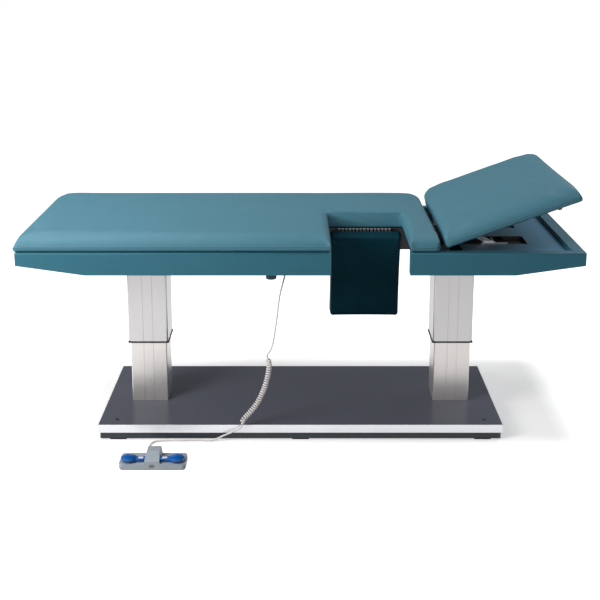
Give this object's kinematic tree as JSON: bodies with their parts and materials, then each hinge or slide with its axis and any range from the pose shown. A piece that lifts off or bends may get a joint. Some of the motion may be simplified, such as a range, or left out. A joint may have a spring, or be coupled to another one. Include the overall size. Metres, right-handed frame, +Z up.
{
  "type": "ultrasound scanning table",
  "caption": "Height-adjustable padded scanning table with an arm window closed by a drop-out flap, a propped backrest, telescopic columns, a flat base and a corded foot control.",
  "frame": {"origin": "on the floor under the middle of the base, on the underside of the centre foot", "axes": "+X towards the head end, +Y towards the side away from the foot control, +Z up"},
  "size_m": [1.937, 0.9075, 0.9281],
  "materials": {
    "vinyl_top": "matte vinyl over foam",
    "vinyl_flap": "matte vinyl over foam, in shade",
    "vinyl_rail": "vinyl stretched over timber",
    "plywood": "bare birch plywood",
    "laminate": "fine textured laminate",
    "base_core": "sealed board",
    "edge_band": "satin",
    "plinth": "satin black",
    "rubber": "matte",
    "profile": "satin anodised",
    "black_frame": "black powder coat",
    "frame_steel": "black powder coat",
    "tube_steel": "grey",
    "bright_steel": "bright",
    "bronze": "machined",
    "glide": "smooth",
    "motor": "painted",
    "black_plastic": "satin",
    "box_plastic": "fine texture",
    "tray": "blue-grey powder coat",
    "well": "black, bare at the lips",
    "cord": "satin jacket",
    "switch_grey": "fine texture",
    "pedal_blue": "glossy"
  },
  "bodies": {
    "base": {"base_board": "base_core", "base_laminate": "laminate", "base_edge_band": "edge_band", "base_plinth": "plinth", "rubber_feet": "rubber", "base_screws": "black_plastic", "column_left_inner": "profile", "column_right_inner": "profile", "nut_tubes": "tube_steel", "lead_nuts": "bronze", "upper_glides": "glide", "cord_curl": "cord", "cord_lower": "cord", "switch_shell": "switch_grey", "switch_cover": "switch_grey"},
    "table": {"column_left_outer": "profile", "column_right_outer": "profile", "wiper_rings": "rubber", "lower_glides": "glide", "gear_motors": "motor", "head_plates": "frame_steel", "column_bolts": "bright_steel", "cross_arms": "frame_steel", "hinge_beam": "black_frame", "bearers": "black_frame", "front_rail_foot": "vinyl_rail", "front_rail_head": "vinyl_rail", "back_rail": "vinyl_rail", "foot_end_rail": "vinyl_rail", "head_end_rail": "vinyl_rail", "mattress_board": "plywood", "mattress": "vinyl_top", "flap_fixed_leaf": "bright_steel", "flap_hinge_pin": "bright_steel", "support_guides": "black_plastic", "head_tray": "tray", "slot_lips": "well", "prop_tracks": "bright_steel", "backrest_brackets": "frame_steel", "backrest_pins": "bright_steel", "control_box": "box_plastic", "mains_inlet": "black_plastic", "cord_gland": "rubber", "cord_upper": "cord"},
    "lead_screw_left_body": {"lead_screw_left": "bright_steel"},
    "lead_screw_right_body": {"lead_screw_right": "bright_steel"},
    "flap": {"flap_leaf": "bright_steel", "flap_board": "plywood", "flap_pad": "vinyl_flap"},
    "support": {"support_bar": "bright_steel", "support_knob": "black_plastic"},
    "backrest": {"backrest_arms": "frame_steel", "backrest_board": "plywood", "backrest_pad": "vinyl_top", "backrest_bumpers": "rubber"},
    "prop": {"prop_bars": "bright_steel", "prop_rod": "bright_steel"},
    "shoes": {"track_shoes": "black_plastic"},
    "raise_pedal": {"pedal_up": "pedal_blue"},
    "lower_pedal": {"pedal_down": "pedal_blue"}
  },
  "joints": [
    {"name": "lift", "type": "slide", "parent": "base", "child": "table", "axis": [0, 0, 1], "range_m": [-0.19, 0.06], "deforming": ["cord_curl"]},
    {"name": "screw_left_turn", "type": "hinge", "parent": "table", "child": "lead_screw_left_body", "pos_m": [-0.565, 0, 0.4], "axis": [0, 0, 1], "range_deg": [-3425, 1085]},
    {"name": "screw_right_turn", "type": "hinge", "parent": "table", "child": "lead_screw_right_body", "pos_m": [0.565, 0, 0.4], "axis": [0, 0, 1], "range_deg": [-3425, 1085]},
    {"name": "flap_hinge", "type": "hinge", "parent": "table", "child": "flap", "pos_m": [0.2375, -0.016, 0.7103], "axis": [-1, 0, 0], "range_deg": [0, 101]},
    {"name": "support_slide", "type": "slide", "parent": "table", "child": "support", "axis": [1, 0, 0], "range_m": [0, 0.15]},
    {"name": "backrest_tilt", "type": "hinge", "parent": "table", "child": "backrest", "pos_m": [0.466, 0, 0.69], "axis": [0, -1, 0], "range_deg": [-20, 15]},
    {"name": "prop_swing", "type": "hinge", "parent": "backrest", "child": "prop", "pos_m": [0.57919, 0, 0.74184], "axis": [0, -1, 0], "range_deg": [-31, 41]},
    {"name": "shoe_pivot", "type": "hinge", "parent": "prop", "child": "shoes", "pos_m": [0.69239, 0, 0.69], "axis": [0, -1, 0], "range_deg": [-21, 16]},
    {"name": "raise_pedal_press", "type": "hinge", "parent": "base", "child": "raise_pedal", "pos_m": [-0.519, -0.509, 0.0305], "axis": [0, -1, 0], "range_deg": [0, 3], "stiffness_Nm_per_rad": 5, "springref_deg": -2.86},
    {"name": "lower_pedal_press", "type": "hinge", "parent": "base", "child": "lower_pedal", "pos_m": [-0.483, -0.509, 0.0305], "axis": [0, 1, 0], "range_deg": [0, 3], "stiffness_Nm_per_rad": 5, "springref_deg": -2.86}
  ],
  "couplings": [
    {"joint": "screw_left_turn", "follows": "lift", "rad_per_m": 314.16},
    {"joint": "screw_right_turn", "follows": "lift", "rad_per_m": 314.16},
    {"joint": "prop_swing", "follows": "backrest_tilt", "ratio": -2},
    {"joint": "shoe_pivot", "follows": "backrest_tilt", "ratio": 1}
  ]
}
